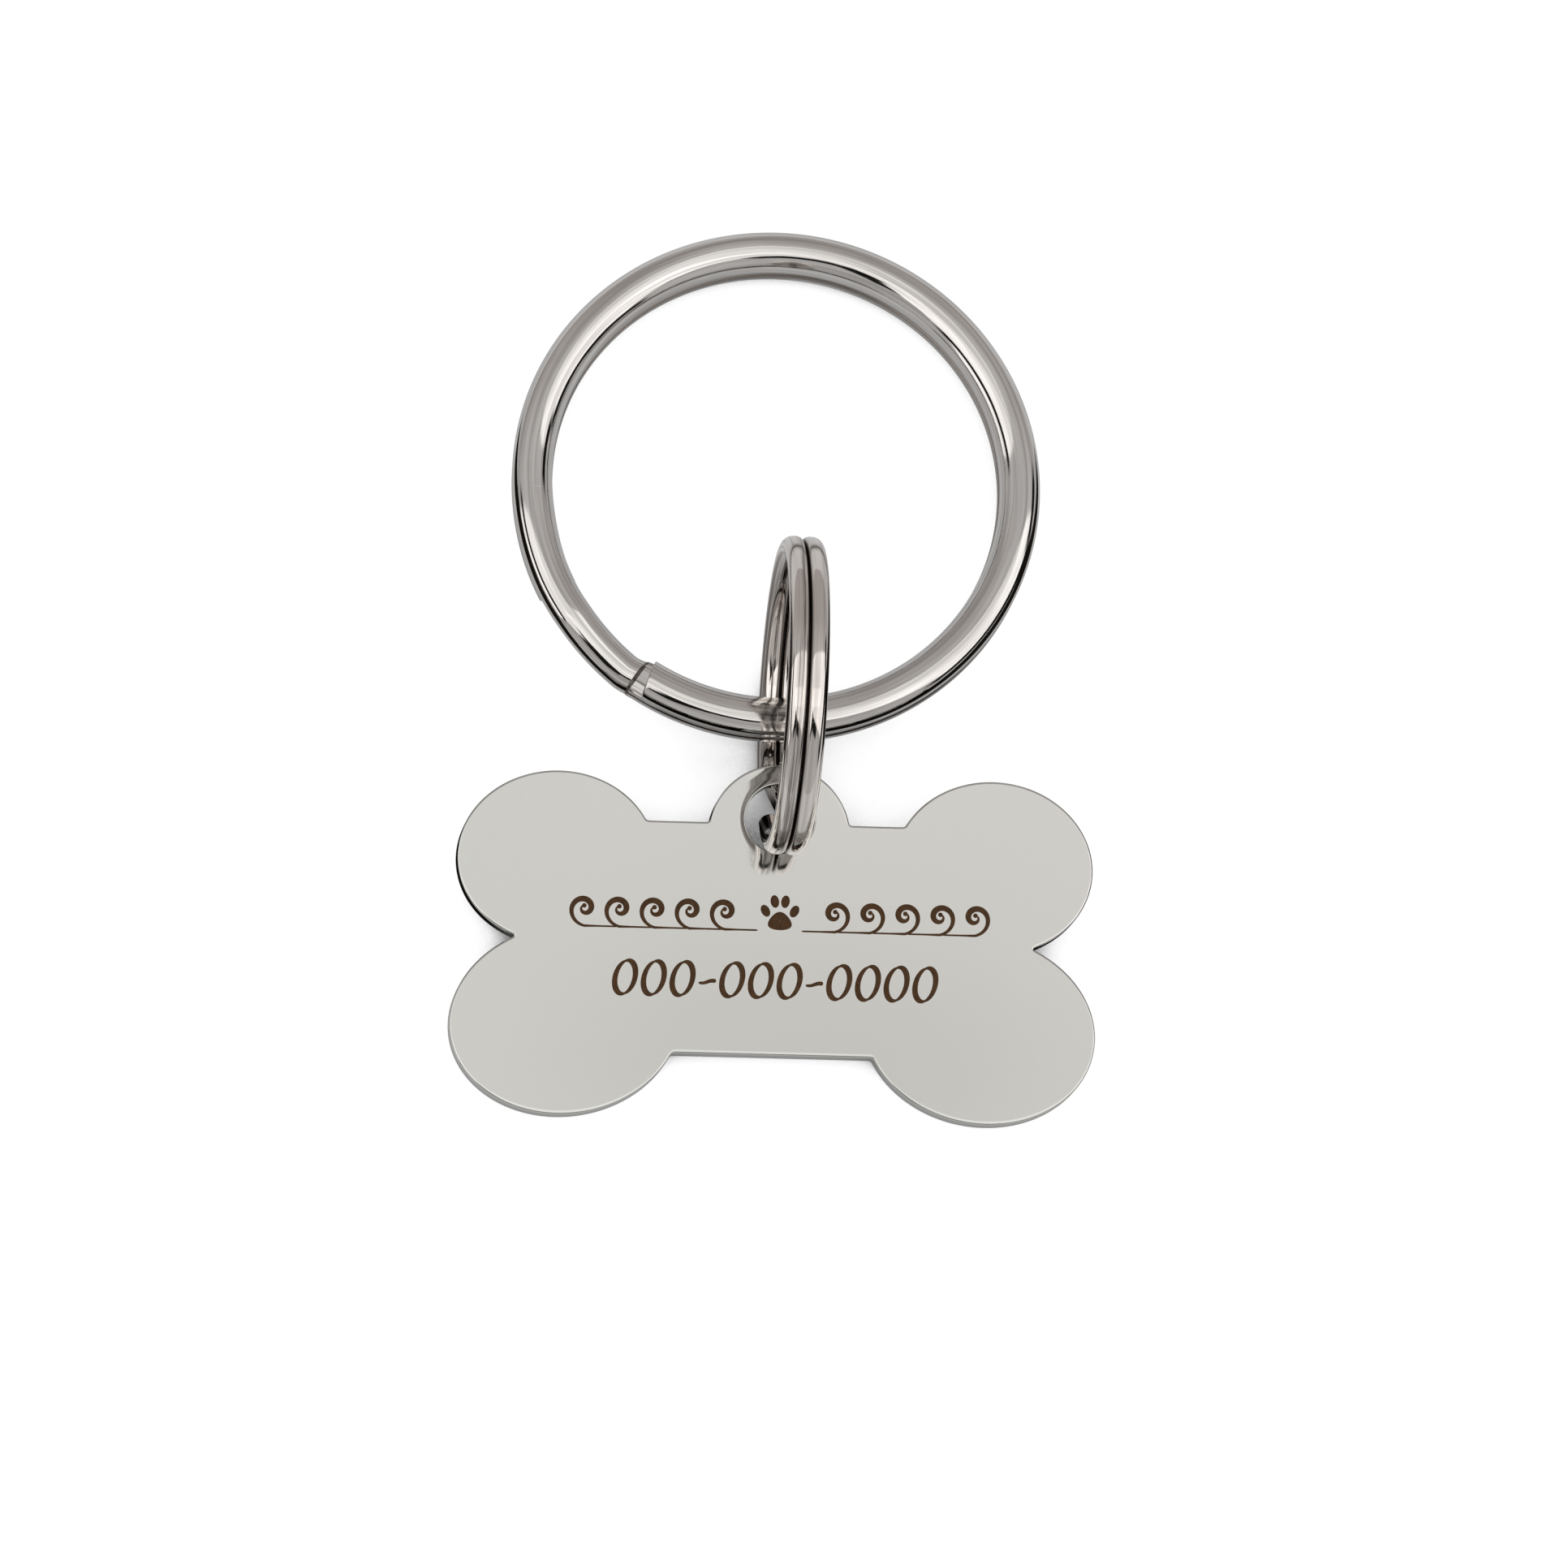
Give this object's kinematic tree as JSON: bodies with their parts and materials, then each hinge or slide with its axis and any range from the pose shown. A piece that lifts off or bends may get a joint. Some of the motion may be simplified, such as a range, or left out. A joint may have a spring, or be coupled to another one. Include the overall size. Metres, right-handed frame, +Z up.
{
  "type": "pet id tag",
  "caption": "Bone-shaped metal pet identity tag with a holed tab, hung by a small split ring on a larger split ring that fits a collar.",
  "frame": {"origin": "centre of the bounding box at its base, the height of the table that the tag lies on", "axes": "+Z up from the table, +Y from the plate towards the large ring, +X to the right of someone who reads the plate"},
  "size_m": [0.0364, 0.0519, 0.0179],
  "materials": {
    "ring_metal": "polished nickel-coloured steel wire",
    "plate_steel": "polished stainless steel with a fine grain"
  },
  "bodies": {
    "large_ring": {"large_split_ring": "ring_metal"},
    "small_ring": {"small_split_ring": "ring_metal"},
    "tag": {"tag_plate": "plate_steel"}
  },
  "joints": [
    {"name": "ring_swing", "type": "hinge", "parent": "large_ring", "child": "small_ring", "pos_m": [-0.0001, -0.00292, 0.00312], "axis": [0.9984, 0.0567, 0], "range_deg": [-90, 90]},
    {"name": "tag_swing", "type": "hinge", "parent": "small_ring", "child": "tag", "pos_m": [-0.00011, -0.00867, 0.00285], "axis": [1, 0, 0], "range_deg": [-2, 80]}
  ]
}
